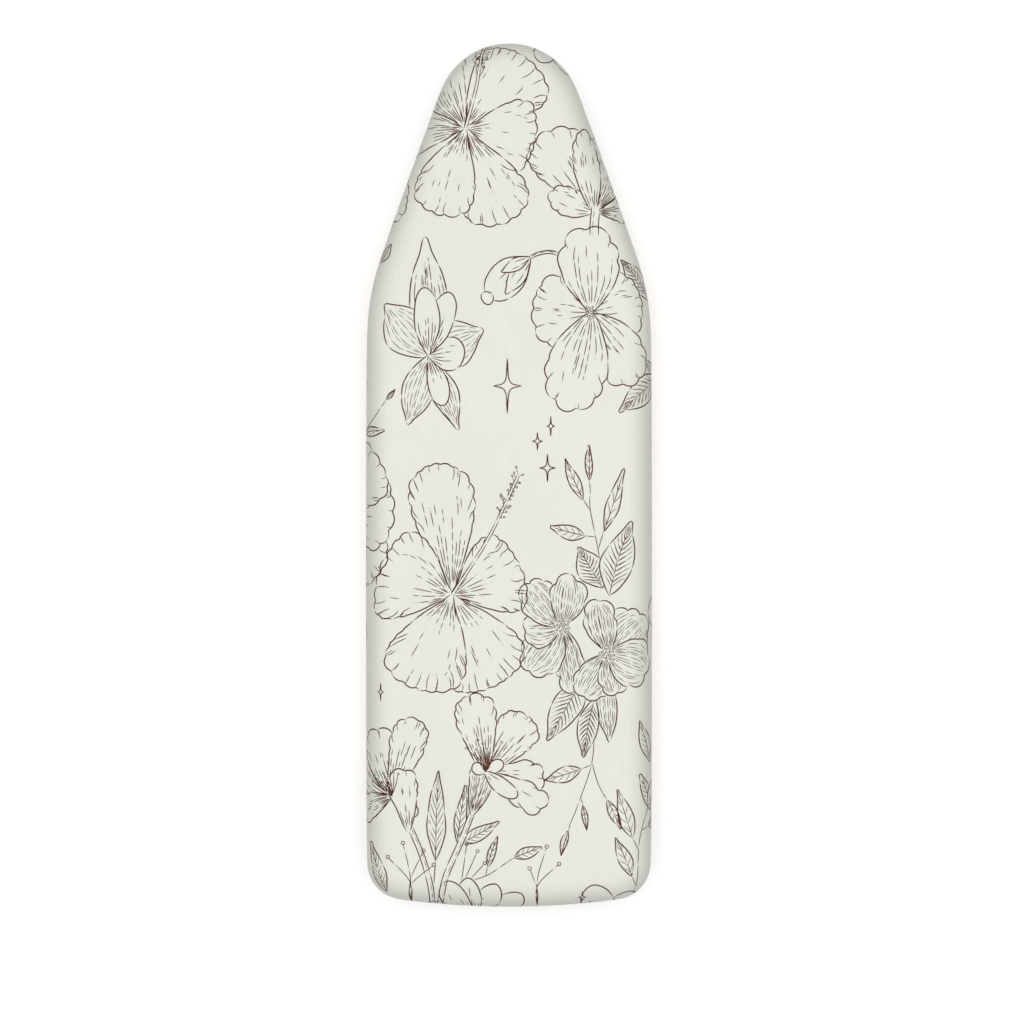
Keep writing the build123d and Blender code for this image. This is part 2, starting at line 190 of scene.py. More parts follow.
def cotton(name, light, dark, sheen):
    """Plain-woven cotton with slubs, with painted shade that darkens it where it rolls over the edge."""
    finish = Finish(name, light, 0.82, specular=0.3)
    finish.set("Sheen Weight", sheen)
    finish.set("Sheen Roughness", 0.5)
    flat = finish.place((CUT_SPAN,) * 3, "UV")
    slub = finish.grain((CUT_SPAN * 700, CUT_SPAN * 60, 1), 2.0, source="UV")
    cloud = finish.noise(14.0, 2.0, on=flat)
    tone = finish.math("ADD", finish.math("MULTIPLY", slub, 0.5), finish.math("MULTIPLY", cloud, 0.5))
    plain = finish.ramp(tone, ((0.36, dark), (0.62, light)))
    # Painted shade: over the roll at the edge, the rim attribute mixes the base colour towards 0.68 of the
    # dark tone, where the cloth turns away from the light.
    rim = finish.add("Attribute", attribute_name="rim")
    painted_rim_shade = finish.math("MULTIPLY", rim.outputs["Fac"], 0.7)
    finish.mix(painted_rim_shade, plain, tuple(0.68 * part for part in dark), "Base Color")
    threads = [finish.wave(flat, WAVE_TURN / THREAD, way, 0.6, 1.0, 0.15) for way in "XY"]
    finish.bump(finish.math("MULTIPLY", *threads), 0.35, 0.00012)
    return finish.material


def birch_ply():
    """Pale birch faces with long grain, and the plies showing round the edge."""
    finish = Finish("birch_plywood", (0.72, 0.53, 0.34), 0.42, specular=0.4)
    finish.set("Coat Weight", 0.18)
    finish.set("Coat Roughness", 0.3)
    fine = finish.grain((700, 16, 700), 6.0, 0.7)
    figure = finish.wave(finish.place((1.0, 0.05, 1.0)), 11.0, "X", 9.0, 3.0, 5.0)
    cloud = finish.grain((8, 3, 8), 2.0)
    tone = finish.math("ADD", finish.math("MULTIPLY", fine, 0.45), finish.math("MULTIPLY", figure, 0.3))
    tone = finish.math("ADD", tone, finish.math("MULTIPLY", cloud, 0.25))
    face = finish.ramp(tone, ((0.3, (0.56, 0.37, 0.21)), (0.5, (0.7, 0.5, 0.31)), (0.72, (0.8, 0.61, 0.41))))
    pores = finish.grain((1700, 60, 1700), 2.0)
    face = finish.mix(finish.ramp(pores, ((0.64, 0.0), (0.72, 0.55))), face, (0.33, 0.2, 0.11))
    plies = finish.wave(finish.place(), WAVE_TURN / PLY, "Z", 0.25, 1.0, 30.0)
    ends = finish.grain((2200, 2200, 1100), 3.0, 0.7)
    layers = finish.ramp(plies, ((0.42, (0.36, 0.22, 0.12)), (0.56, (0.74, 0.56, 0.37))))
    end_grain = finish.ramp(ends, ((0.35, (0.3, 0.19, 0.1)), (0.65, (0.8, 0.62, 0.42))))
    layers = finish.mix(0.35, layers, end_grain)
    facing = finish.add("SeparateXYZ", Vector=finish.add("TexCoord").outputs["Normal"])
    flat = finish.math("GREATER_THAN", finish.math("ABSOLUTE", facing.outputs["Z"]), 0.55)
    finish.mix(flat, layers, face, "Base Color")
    finish.ramp(tone, ((0.3, 0.52), (0.7, 0.36)), "Roughness")
    finish.bump(fine, 0.25, 0.00015)
    return finish.material


def powder_coat():
    """Stove-enamelled steel with a fine orange peel and a few rubbed places."""
    finish = Finish("powder_coated_steel", (0.8, 0.8, 0.77), 0.4)
    rubbed = finish.grain((60, 60, 60), 4.0, 0.7)
    cloud = finish.noise(25.0, 2.0)
    base = finish.ramp(cloud, ((0.35, (0.74, 0.74, 0.71)), (0.65, (0.82, 0.82, 0.79))))
    finish.mix(finish.ramp(rubbed, ((0.66, 0.0), (0.72, 0.5))), base, (0.55, 0.54, 0.52), "Base Color")
    finish.ramp(rubbed, ((0.4, 0.36), (0.7, 0.56)), "Roughness")
    finish.bump(finish.noise(1500.0, 2.0), 0.22, 0.00012)
    return finish.material


def zinc_plate():
    """Bright zinc with a faint spangle."""
    finish = Finish("zinc_plated_steel", (0.7, 0.71, 0.74), 0.32, metallic=1.0)
    spangle = finish.add("TexVoronoi", Vector=finish.place(), Scale=700.0).outputs["Distance"]
    finish.ramp(spangle, ((0.1, (0.64, 0.65, 0.68)), (0.7, (0.74, 0.75, 0.78))), "Base Color")
    marks = finish.noise(2400.0, 3.0)
    finish.ramp(marks, ((0.3, 0.34), (0.7, 0.44)), "Roughness")
    finish.bump(marks, 0.03, 0.00003)
    return finish.material


def mottled(name, colour, roughness, tones, roughs, grain, relief, fine=None, **shine):
    """A stuff in two tones that its roughness follows, with relief."""
    finish = Finish(name, colour, roughness, **shine)
    pattern = finish.grain(*grain) if isinstance(grain[0], tuple) else finish.noise(*grain)
    finish.ramp(pattern, tones, "Base Color")
    finish.ramp(pattern, roughs, "Roughness")
    finish.bump(finish.noise(*fine) if fine else pattern, *relief)
    return finish


def aged_brass():
    """Brass that has dulled a little."""
    tones = ((0.3, (0.6, 0.41, 0.18)), (0.6, (0.84, 0.63, 0.31)))
    look = dict(tones=tones, roughs=((0.38, 0.42), (0.62, 0.26)), metallic=1.0)
    dull = dict(grain=(160.0, 4.0, 0.65), relief=(0.06, 0.00005), fine=(900.0, 3.0))
    return mottled("brass", (0.8, 0.58, 0.27), 0.28, **look, **dull).material


def moulded_knob():
    """Dark brown moulding powder, mottled and softly polished."""
    tones = ((0.38, (0.055, 0.027, 0.019)), (0.64, (0.14, 0.075, 0.05)))
    look = dict(tones=tones, roughs=((0.4, 0.28), (0.65, 0.42)))
    swirl = dict(grain=((90, 140, 140), 5.0, 0.6, 1.2), relief=(0.12, 0.0001), fine=(1200.0, 2.0))
    finish = mottled("brown_moulding", (0.09, 0.047, 0.033), 0.33, **look, **swirl)
    finish.set("Coat Weight", 0.25)
    finish.set("Coat Roughness", 0.2)
    return finish.material


def black_rubber():
    """Matt rubber with dust in it."""
    tones = ((0.4, (0.028, 0.028, 0.03)), (0.7, (0.075, 0.074, 0.072)))
    look = dict(tones=tones, roughs=((0.4, 0.62), (0.7, 0.85)), specular=0.35)
    dust = dict(grain=(220.0, 4.0, 0.7), relief=(0.35, 0.00015), fine=(2600.0, 3.0))
    return mottled("black_rubber", (0.035, 0.035, 0.037), 0.72, **look, **dust).material


def milky_nylon():
    """Nylon with a milky cloud in it."""
    tones = ((0.35, (0.76, 0.73, 0.66)), (0.65, (0.87, 0.85, 0.8)))
    look = dict(tones=tones, roughs=((0.35, 0.3), (0.65, 0.46)), grain=(300.0, 3.0), relief=(0.2, 0.0001))
    return mottled("milky_nylon", (0.84, 0.82, 0.76), 0.36, **look).material


def fibrous(name, light, dark, scale, depth, roughness=0.9):
    """Felt, foam, elastic or thread: small fibres or cells in two tones."""
    tones = ((0.38, dark), (0.6, light))
    roughs = ((0.35, min(1.0, roughness + 0.06)), (0.65, roughness - 0.06))
    fibre = dict(grain=(scale, 5.0, 0.7, 2.5), relief=(0.6, depth), specular=0.2)
    finish = mottled(name, light, roughness, tones, roughs, **fibre)
    finish.set("Sheen Weight", 0.25)
    return finish.material


printed_cotton = cotton("printed_cotton", (0.905, 0.905, 0.83), (0.87, 0.87, 0.795), 0.2)
brown_ink = cotton("brown_print_ink", (0.115, 0.03, 0.015), (0.06, 0.015, 0.008), 0.04)
cream_foam = fibrous("cream_foam", (0.88, 0.8, 0.58), (0.74, 0.64, 0.42), 1300.0, 0.0006)
grey_felt = fibrous("grey_felt", (0.5, 0.49, 0.47), (0.33, 0.32, 0.31), 700.0, 0.0005)
ribbed_elastic = fibrous("ribbed_elastic", (0.85, 0.84, 0.8), (0.66, 0.65, 0.61), 1800.0, 0.0003)
sewing_thread = fibrous("sewing_thread", (0.8, 0.79, 0.72), (0.6, 0.59, 0.53), 2600.0, 0.0001, 0.7)

# ---- Lines and outlines, as rows of points in millimetres ----


def along_of(line):
    """How far along a line its points are."""
    return np.concatenate([[0], np.cumsum(np.linalg.norm(np.diff(line, axis=0), axis=1))])


def places_on(line, at):
    """Places at distances along a line."""
    along = along_of(line)
    return np.stack([np.interp(at, along, column) for column in line.T], axis=-1)


def part_of(line, start, stop, step):
    """Evenly spaced points on a stretch of a line."""
    return places_on(line, np.linspace(start, stop, max(2, math.ceil((stop - start) / step) + 1)))


def smooth_line(points, step=0.8):
    """A smooth line through some points."""
    p = np.array(points, float)
    p = np.vstack([2 * p[0] - p[1], p, 2 * p[-1] - p[-2]])
    t = np.linspace(0, 1, 12, endpoint=False)[:, None]
    found = [
        0.5 * (2 * b + (c - a) * t + (2 * a - 5 * b + 4 * c - d) * t**2 + (3 * b - a - 3 * c + d) * t**3)
        for a, b, c, d in zip(p, p[1:], p[2:], p[3:])
    ]
    line = np.vstack(found + [p[-2:-1]])
    return part_of(line, 0, along_of(line)[-1], step)


def unit(vectors):
    return vectors / np.maximum(np.linalg.norm(vectors, axis=1), 1e-9)[:, None]


def left_of(way):
    """Directions turned a quarter to the left."""
    return np.stack([-way[..., 1], way[..., 0]], axis=-1)


def left_side(line):
    """Directions to the left of an open line."""
    return unit(left_of(np.gradient(line, axis=0)))


def signed_area(outline):
    """The area inside an outline, positive where it runs anticlockwise."""
    x, y = outline.T
    return (x * np.roll(y, -1) - y * np.roll(x, -1)).sum() / 2


def eased(share):
    """A share from 0 to 1 that starts and ends gently."""
    return share * share * (3 - 2 * share)


# ---- The printed drawing, on the flat cloth ----
OUTLINE = 0.78
VEIN = 0.52
HATCH = 0.42
PEN_STEP = 0.7  # between the points where a line may be hidden
STEPS = {OUTLINE: 1.8, VEIN: 2.6, HATCH: 3.2}  # between a line's points, by its width
SCALLOPS_FROM = 0.42  # share of a petal's length
SCALLOP_DEPTH = 0.21  # share of a scallop's width
LEAF_VEIN = 0.17  # share of a leaf's length that a side vein runs along
COLUMN_ANTHERS = 22

# Half widths along a petal or leaf, as (share of its length, share of its width)
FAN = ((0, 0.02), (0.13, 0.12), (0.3, 0.28), (0.5, 0.42), (0.7, 0.5), (0.86, 0.46), (0.96, 0.27), (1, 0))
ROUND = ((0, 0.03), (0.12, 0.2), (0.35, 0.43), (0.6, 0.5), (0.82, 0.42), (0.95, 0.23), (1, 0))
TALL = ((0, 0.06), (0.2, 0.24), (0.45, 0.4), (0.7, 0.5), (0.88, 0.46), (0.97, 0.25), (1, 0))
POINTED = ((0, 0.05), (0.15, 0.26), (0.35, 0.46), (0.52, 0.5), (0.72, 0.36), (0.88, 0.15), (1, 0))
LEAF = ((0, 0), (0.12, 0.24), (0.3, 0.46), (0.45, 0.5), (0.66, 0.38), (0.86, 0.14), (1, 0))

drawn_lines = []
in_front = []
hand = random.Random(11)


def covered(points):
    """Which points lie under a petal or leaf that was drawn earlier."""
    hidden = np.zeros(len(points), bool)
    x, y = points.T
    for shape in in_front:
        if (points.max(0) < shape.min(0)).any() or (points.min(0) > shape.max(0)).any():
            continue
        ax, ay = shape.T
        bx, by = np.roll(ax, -1), np.roll(ay, -1)
        crosses = (ay[:, None] > y) != (by[:, None] > y)
        rise = np.where(by == ay, 1e-9, by - ay)
        at = ax[:, None] + (y - ay[:, None]) * ((bx - ax) / rise)[:, None]
        hidden |= (crosses & (x < at)).sum(0) % 2 == 1
    return hidden


def draw(points, width=OUTLINE, run=26.0, gap=0.6, taper=0.3, behind=True):
    """Inks a line where nothing covers it, with small skips of the pen between runs."""
    line = np.asarray(points, float)
    line = part_of(line, 0, along_of(line)[-1], PEN_STEP)
    seen = ~covered(line) if behind and in_front else np.ones(len(line), bool)
    ends = np.flatnonzero(np.diff(np.concatenate([[0], seen.astype(int), [0]])))
    for first, last in zip(ends[::2], ends[1::2]):
        stretch = line[first:last]
        at, long = 0.0, along_of(stretch)[-1]
        while at < long - 0.5:
            stop = min(long, at + hand.uniform(0.5, 1.5) * run)
            drawn_lines.append((part_of(stretch, at, stop, STEPS.get(width, STEPS[OUTLINE])), width, taper))
            at = stop + gap


def turned(base, angle, along, across=0.0):
    """A place along and across a direction from a base point."""
    c, s = math.cos(math.radians(angle)), math.sin(math.radians(angle))
    return np.stack([base[0] + c * along - s * across, base[1] + s * along + c * across], axis=-1)


def blade(base, angle, length, width, shape, bend, lean):
    """A function from (share along, share across) to places on a petal or leaf."""
    shares, halves = np.array(shape).T

    def place(along, share):
        along = np.asarray(along, float)
        across = (share + lean * np.sin(math.pi * along)) * np.interp(along, shares, halves) * width
        return turned(base, angle, along * length, across + bend * length * along**2)

    return place


def petal(
    base, angle, length, width, shape=FAN, bend=0.0,
    lobe=0.0, veins=9, reach=(0.25, 0.45), strokes=4, ticks=0.1, hatch=False,
):
    """A petal: a scalloped rim, veins from the throat and strokes in from the rim."""
    place = blade(base, angle, length, width, shape, bend, hand.uniform(-0.08, 0.08))
    u = np.array([p[0] for p in shape[:-1]])
    rim = smooth_line(np.vstack([place(u, 1), place(1, 0)[None], place(u[::-1], -1)]), PEN_STEP)
    normal = -left_side(rim)
    if ((rim - place(0.6, 0)) * normal).sum() < 0:
        normal = -normal
    far = np.clip(((rim - np.array(base)) @ turned((0, 0), angle, 1.0) / length - SCALLOPS_FROM) / 0.22, 0, 1)
    s = np.arange(len(rim)) * PEN_STEP
    push = 0.22 * np.sin(s / 4.1 + hand.uniform(0, 6)) + 0.3 * np.sin(s / 9.3 + hand.uniform(0, 6))
    notches = []
    at = s[far > 0][0] if lobe and (far > 0).any() else s[-1]
    while at < s[-1]:
        wide = lobe * hand.uniform(0.6, 1.45)
        x = (s - at) / wide
        scallop = SCALLOP_DEPTH * wide * (np.abs(np.sin(math.pi * x)) ** 0.62 - 0.6) * far
        push = np.where((x >= 0) & (x < 1), scallop + push * 0.3, push)
        notches.append(at)
        at += wide
    rim = rim + normal * push[:, None]
    draw(rim)
    for at in notches[1:]:
        k = min(int(at / PEN_STEP), len(rim) - 1)
        if far[k] < 0.6 or not ticks:
            continue
        for _ in range(hand.choice((1, 1, 2))):
            k = min(max(k + hand.randrange(-2, 3), 0), len(rim) - 1)
            way = turned(base, angle, 0.25 * length) - rim[k]
            way /= np.linalg.norm(way)
            long = ticks * length * hand.uniform(0.5, 1.4)
            side = left_of(way) * hand.uniform(-0.14, 0.14) * long
            draw(smooth_line([rim[k], rim[k] + way * long * 0.5 + side, rim[k] + way * long]), VEIN, 12)
    for k in range(veins):
        share = (k + 0.5) / veins * 1.8 - 0.9 + hand.uniform(-0.06, 0.06)
        low = hand.uniform(0.05, 0.12)
        high = hand.uniform(0.78, 0.96) if hatch else hand.uniform(*reach) * (1 - 0.25 * abs(share))
        draw(place(np.linspace(low, high, 9), share), HATCH if hatch else VEIN, 7 if hatch else 9, 0.8)
    for k in range(strokes):
        share, low = hand.uniform(-0.75, 0.75), hand.uniform(0.42, 0.66)
        draw(place(np.linspace(low, low + hand.uniform(0.08, 0.2), 6), share), VEIN, 7, 0.8)
    in_front.append(rim)
    return place


def leaf(base, angle, length, width, bend=0.0, ribs=6, hatch=False):
    """A pointed leaf with a midrib and side veins."""
    place = petal(base, angle, length, width, LEAF, bend, veins=0, strokes=0, ticks=0)
    rim = in_front.pop()
    draw(place(np.linspace(0, 0.93, 12), 0), VEIN, 16)
    for k in range(ribs):
        start = 0.1 + 0.72 * k / ribs
        for side in (-1, 1):
            run = np.linspace(start, min(start + LEAF_VEIN, 0.97), 5)
            draw(place(run, side * 0.86 * (run - start) / LEAF_VEIN), HATCH, 8)
            if hatch:
                draw(place(np.minimum(run + 0.06, 0.98), side * 0.8 * (run - start) / LEAF_VEIN), HATCH, 6)
    in_front.append(rim)


def ring(centre, radius, width=VEIN):
    a = np.linspace(0, 2 * math.pi, max(6, round(radius * 7)))
    drawn_lines.append((centre + radius * np.column_stack([np.cos(a), np.sin(a)]), width, 1))


def hide_band(line, side):
    """Keeps what is drawn later from crossing a stalk."""
    in_front.append(np.vstack([line + side, (line - side)[::-1]]))


def stem(points, width=0.0):
    """A stalk: one line, or two with shading between them."""
    line = smooth_line(points)
    if not width:
        draw(line, OUTLINE * 0.8, 18)
        return
    normal = left_side(line)
    for share in (-0.5, 0.5):
        draw(line + normal * share * width, OUTLINE * 0.85, 22)
    draw(line + normal * 0.16 * width, HATCH, 4, 1.2)
    hide_band(line, normal * width / 2)


def anthers(centre, spread, count):
    """A knot of small rings at a flower's heart."""
    for k in range(count):
        ring(turned(centre, 137.5 * k, spread * math.sqrt((k + 0.5) / count)), hand.uniform(0.5, 0.95), HATCH)


def column(centre, angle, length):
    """A stamen column: a slim stalk with anthers round its far end."""
    bend = turned(centre, angle, 0.5 * length, -0.03 * length)
    line = smooth_line([centre, bend, turned(centre, angle, length)])
    side = turned((0, 0), angle + 90, 0.8)
    hide_band(line, side)
    for share in (-1, 1):
        draw(line + side * share, VEIN, 18, behind=False)
    for k in range(COLUMN_ANTHERS):
        at = line[int((len(line) - 1) * (0.66 + 0.34 * k / (COLUMN_ANTHERS - 1)))]
        out = turned(at, angle + hand.uniform(25, 75) * (1 if k % 2 else -1), hand.uniform(2.4, 5.2))
        draw(smooth_line([at, (at + out) / 2 + side * 0.3, out]), HATCH, behind=False)
        ring(out, hand.uniform(0.45, 0.75), HATCH)


def flower(centre, petals, **kind):
    """Petals round a centre, the nearest first, each (angle, length, width)."""
    for angle, length, width in petals:
        petal(centre, angle, length, width, bend=hand.uniform(-0.04, 0.04), **kind)


def star(centre, tall, wide):
    """A four-pointed twinkle with hollow sides."""
    x, y = centre
    tips = [(x, y + tall / 2), (x + wide / 2, y), (x, y - tall / 2), (x - wide / 2, y)]
    for a, b in zip(tips, tips[1:] + tips[:1]):
        near = ((a[0] + b[0] - 2 * x) * 0.17 + x, (a[1] + b[1] - 2 * y) * 0.17 + y)
        draw(smooth_line([a, near, b]), OUTLINE * 0.9, 60, taper=0.5)


def twig(points, ends):
    """A thin stalk with small leaves or buds: ends are (share along, angle, length, width)."""
    line = smooth_line(points)
    for share, angle, length, width in ends:
        at = line[int(share * (len(line) - 1))]
        if width:
            foot = turned(at, angle, length * 0.28, length * 0.03)
            leaf(foot, angle, length, width, hand.uniform(-0.1, 0.1), 4)
        else:
            foot = turned(at, angle, length)
            ring(foot, 1.0)
        draw(smooth_line([at, (at + foot) / 2, foot]), VEIN, 20)
    draw(line, VEIN, 16)


def stamens(heart, first, fan, shortest, longest, count):
    """Fine stalks with anthers, fanned out from a heart."""
    for k in range(count):
        tip = turned(heart, first + fan * k / count, hand.uniform(shortest, longest))
        draw(smooth_line([heart, (np.array(heart) + tip) / 2 + 0.6, tip]), VEIN, behind=False)
        ring(tip, 0.7, HATCH)


def sprig(foot, tips):
    """Thin stalks that end in beads; tips are (angle, length)."""
    for angle, long in tips:
        tip = turned(foot, angle, long)
        draw(smooth_line([foot, turned(foot, 90, long * 0.5), tip]), VEIN, 14)
        ring(tip, 1.1)


# Ways of drawing a petal
FRILLED = dict(lobe=7.5, veins=9, strokes=5, ticks=0.14)
PLAIN = dict(shape=ROUND, veins=6, reach=(0.35, 0.7), strokes=1, ticks=0)
HATCHED = dict(shape=ROUND, veins=13, hatch=True, lobe=12, ticks=0, strokes=0)
BLADE = dict(shape=POINTED, veins=8, hatch=True, ticks=0, strokes=0)
UPRIGHT = dict(shape=TALL, lobe=8, veins=8, reach=(0.4, 0.75), strokes=4)


def draw_nose():
    """Flowers round the nose."""
    in_front.clear()
    heart = (-26, 207)
    column(heart, 79, 54)
    flower(heart, [(-107, 54, 36), (-70, 61, 40)], **FRILLED)
    flower(heart, [(-12, 42, 44), (50, 56, 48)], **FRILLED)
    flower(heart, [(112, 56, 46), (168, 44, 42)], lobe=9, veins=12, reach=(0.4, 0.8))
    in_front.clear()
    flower((30, 268), [(-118, 24, 14), (-72, 27, 14), (-32, 26, 16)], **PLAIN)
    in_front.clear()
    stem([(51, 143), (51, 150), (52, 160)], 5)
    flower((51, 157), [(98, 50, 17), (156, 29, 17)], shape=ROUND, lobe=8, veins=5)
    flower((51, 157), [(121, 56, 36), (8, 25, 14), (62, 56, 34)], lobe=9, veins=9, reach=(0.3, 0.7))
    in_front.clear()
    flower((-95, 166), [(8, 33, 30), (-38, 26, 18), (58, 26, 20)], lobe=7, veins=5)
    leaf((-80, 128), 52, 14, 7)


def draw_upper():
    """The lily, the bud and the five-petalled flower."""
    in_front.clear()
    lily = (-48, 71)
    flower(lily, [(94, 41, 15), (72, 40, 15), (6, 22, 20), (-72, 31, 12)], **PLAIN)
    flower(lily, [(-106, 43, 20), (-68, 48, 16), (130, 41, 28), (24, 36, 28)], **BLADE)
    flower(lily, [(91, 71, 23)], shape=POINTED, veins=9, reach=(0.6, 0.9), strokes=3, ticks=0)
    in_front.clear()
    bud = (13, 130)
    petal((-10, 108), 215, 7, 8, ROUND, veins=2, strokes=0, ticks=0)
    flower(bud, [(206, 20, 7), (235, 27, 10)], shape=POINTED, veins=2, reach=(0.5, 0.9), strokes=0, ticks=0)
    flower(bud, [(222, 35, 21)], **PLAIN)
    in_front.clear()
    heart = (49, 97)
    anthers(heart, 4.0, 16)
    flower(heart, [(90, 51, 35)], shape=ROUND, veins=8, reach=(0.45, 0.8), strokes=2, ticks=0.06, lobe=14)
    lower = dict(shape=ROUND, lobe=12, veins=8, reach=(0.35, 0.75), ticks=0.09)
    flower(heart, [(-103, 60, 36), (-58, 50, 33)], **lower)
    flower(heart, [(178, 35, 42), (14, 32, 38)], shape=ROUND, lobe=10, veins=7, reach=(0.35, 0.6), ticks=0.14)
    stem([bud, (18, 132.3), (26, 133), (34, 129)], 1.8)
    leaf((88, 106), 130, 32, 13, 0.05, 8, True)
    leaf((96, 60), 214, 38, 16, 0.05, 8, True)
    leaf((98, 50), 132, 28, 13, 0.0, 7, True)


def draw_twinkles():
    for place, tall, wide in (
        ((-1, 53), 33, 17), ((17, 20), 11, 6.5), ((25, 29), 12, 5), ((23, 4), 17, 10),
        ((-77, -130), 11, 4), ((44, -254), 9, 5), ((-104, 96), 15, 8), ((106, -12), 17, 9),
        ((103, -30), 9, 5), ((-104, -246), 13, 7), ((104, 8), 9, 5), ((-32, -286), 14, 8),
    ):
        star(place, tall, wide)


def draw_middle():
    """The great hibiscus, and what shows beside it."""
    in_front.clear()
    heart = (-34, -72)
    column(heart, 61, 82)
    flower(heart, [(-112, 60, 48), (-64, 60, 50)], **FRILLED)
    flower(heart, [(24, 44, 48), (160, 46, 54)], lobe=8, veins=10, reach=(0.3, 0.6), ticks=0.15)
    flower(heart, [(97, 79, 38)], lobe=7.5, veins=9, reach=(0.4, 0.7), strokes=7, ticks=0.09)
    in_front.clear()
    flower((-120, -22), [(40, 52, 42), (0, 51, 44), (-42, 56, 36), (90, 40, 30)], lobe=9, veins=6, strokes=3)
    twig([(-100, 22), (-84, 32), (-74, 44)], [(0.97, 50, 9, 3), (0.3, 110, 20, 7), (0.1, 10, 18, 6)])
    flower((-104, 54), [(52, 19, 13), (8, 15, 11)], **PLAIN)


def draw_bouquet():
    """Two hatched flowers with leaves and hanging twigs."""
    in_front.clear()
    for heart, petals in (
        ((59, -107), [(-22, 28, 29), (-75, 25, 18), (-118, 30, 23), (100, 33, 19), (44, 32, 28)]),
        ((32, -91), [(80, 31, 21), (128, 34, 23), (178, 23, 25), (230, 34, 25), (-80, 40, 17)]),
    ):
        anthers(heart, 4.8, 20)
        in_front.append(np.array([turned(heart, a, 4.4) for a in range(0, 360, 30)]))
        flower(heart, petals, **HATCHED)
    leaf((60, -72), 76, 46, 20, -0.05, 10, True)
    leaf((56, -68), 118, 29, 17, 0.05, 9, True)
    leaf((44, -122), 243, 43, 18, -0.05, 10, True)
    leaf((51, -134), 257, 36, 13, 0.04, 9, True)
    petal((57, -118), -86, 42, 13, **BLADE)
    petal((40, -108), -96, 38, 11, **BLADE)
    leaves = [(0.98, 89, 22, 4.5), (0.75, 117, 28, 6.5), (0.3, 68, 40, 8), (0.45, 168, 22, 9)]
    twig([(56, -60), (52, -38), (48.5, -20), (48.7, -8)], leaves)
    leaves = [(0.98, 250, 16, 4), (0.72, -80, 16, 4), (0.4, 198, 24, 9)]
    twig([(51, -148), (49.6, -172), (41, -198), (36, -210)], leaves)
    twig([(49.6, -172), (53, -184), (58, -194)], [(0.8, -62, 20, 6)])


def draw_lower():
    """The tall flowers, stalks and leaves towards the heel."""
    in_front.clear()
    bell = (-14, -178)
    stamens(bell, 62, 75, 10, 21, 9)
    flower(bell, [(-40, 24, 10), (150, 9, 7), (32, 12, 7)], shape=ROUND, veins=2, strokes=0, ticks=0)
    flower(bell, [(-31, 41, 16), (-5, 35, 19)], shape=TALL, lobe=11, veins=5, strokes=2)
    flower(bell, [(100, 47, 24), (52, 42, 25)], **UPRIGHT)
    petal((-22, -204), 76, 40, 14, **HATCHED)
    stem([(-22, -202), (-29, -220), (-38, -241), (-42, -262)], 3.2)
    leaf((-31, -221), 84, 36, 7, -0.04, 6)
    leaf((-30, -221), 27, 28, 8, 0.05, 6)
    in_front.clear()
    side = (-70, -192)
    stamens(side, 74, 86, 8, 17, 7)
    petal((-60, -213), 98, 37, 17, TALL, lobe=8, veins=5, strokes=3)
    flower(side, [(-38, 18, 10), (204, 26, 16), (74, 48, 21), (106, 41, 24), (146, 40, 26)], **UPRIGHT)
    stem([(-59, -211), (-52, -228), (-47, -246), (-46, -262)], 3)
    leaf((-44, -231), 88, 55, 11, 0.0, 8)
    stem([(-44, -231), (-45, -246)])
    in_front.clear()
    flower((-23, -276), [(114, 36, 16), (92, 35, 14), (62, 35, 15), (36, 40, 17), (150, 30, 18)], **PLAIN)
    ends = [(0.97, 26, 18, 7), (0.5, 74, 20, 5), (0.1, 66, 20, 0), (0.05, 82, 23, 0), (0.2, 48, 14, 0)]
    twig([(-30, -244), (-14, -240), (0, -231)], ends)
    sprig((-59, -262), ((96, 42), (78, 38), (112, 36), (64, 32)))
    sprig((17, -262), ((82, 40), (66, 32), (100, 27)))
    in_front.clear()
    leaves = [(0.55, 110, 31, 9), (0.28, 110, 26, 8), (0.8, 60, 26, 9), (0.7, 20, 22, 8)]
    twig([(74, -270), (77, -246), (79, -216), (90, -190)], leaves)
    leaf((88, -173), 108, 28, 9, 0.04, 6)
    leaf((100, -150), 84, 30, 10, 0.04, 6)
    leaf((89, -202), 112, 25, 9, 0.04, 6)
    leaf((-74, -252), 108, 34, 9, 0.0, 7)
    flower((60, -282), [(104, 38, 20), (66, 34, 20), (30, 36, 18)], **PLAIN)
    flower((110, -84), [(170, 24, 20), (110, 26, 18), (230, 24, 18)], **PLAIN)
    flower((-112, -96), [(60, 26, 20), (4, 22, 16), (120, 24, 18)], **FRILLED)


# ---- The cover's cloth: from the flat cut to the padded board ----
TOP_Z = cover_high.z / MM
BOTTOM_Z = cover_low.z / MM
ROLL = 16.0  # how far in from the edge the cloth starts to roll down
ROLL_DROP = 13.0
UNDER_RADIUS = 5.0
CLOTH = 0.8  # cloth and its coating
HEM_WIDTH = 8.0
casing_low, casing_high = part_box("hem_casing")
HEM_DEPTH = (casing_high.z - casing_low.z) / MM


def plan_of(node):
    """Convex outline of a CAD node from above, evenly spaced, anticlockwise."""
    points = [(v.co.x / MM, v.co.y / MM) for v in nodes[node].data.vertices]
    hull = np.array([points[i] for i in convex_hull_2d([Vector(p) for p in points])])
    if signed_area(hull) < 0:
        hull = hull[::-1]
    heel_middle = int(np.argmin(np.abs(hull[:, 0]) + (hull[:, 1] > 0) * 1000))
    hull = np.roll(hull, -heel_middle, axis=0)
    closed = np.vstack([hull, hull[:1]])
    long = along_of(closed)[-1]
    return places_on(closed, np.linspace(0, long, round(long), endpoint=False))


def softened(curve, width):
    """A closed line, or values round it, averaged over a few steps."""
    shifts = np.arange(-3 * width, 3 * width + 1)
    spread = np.exp(-0.5 * (shifts / width) ** 2)
    spread /= spread.sum()
    return np.sum([np.roll(curve, k, axis=0) * w for k, w in zip(shifts, spread)], axis=0)


def outward(curve):
    """Softened directions straight out from a closed line."""
    step = np.roll(curve, -1, axis=0) - np.roll(curve, 1, axis=0)
    return unit(softened(unit(-left_of(step)), 2))


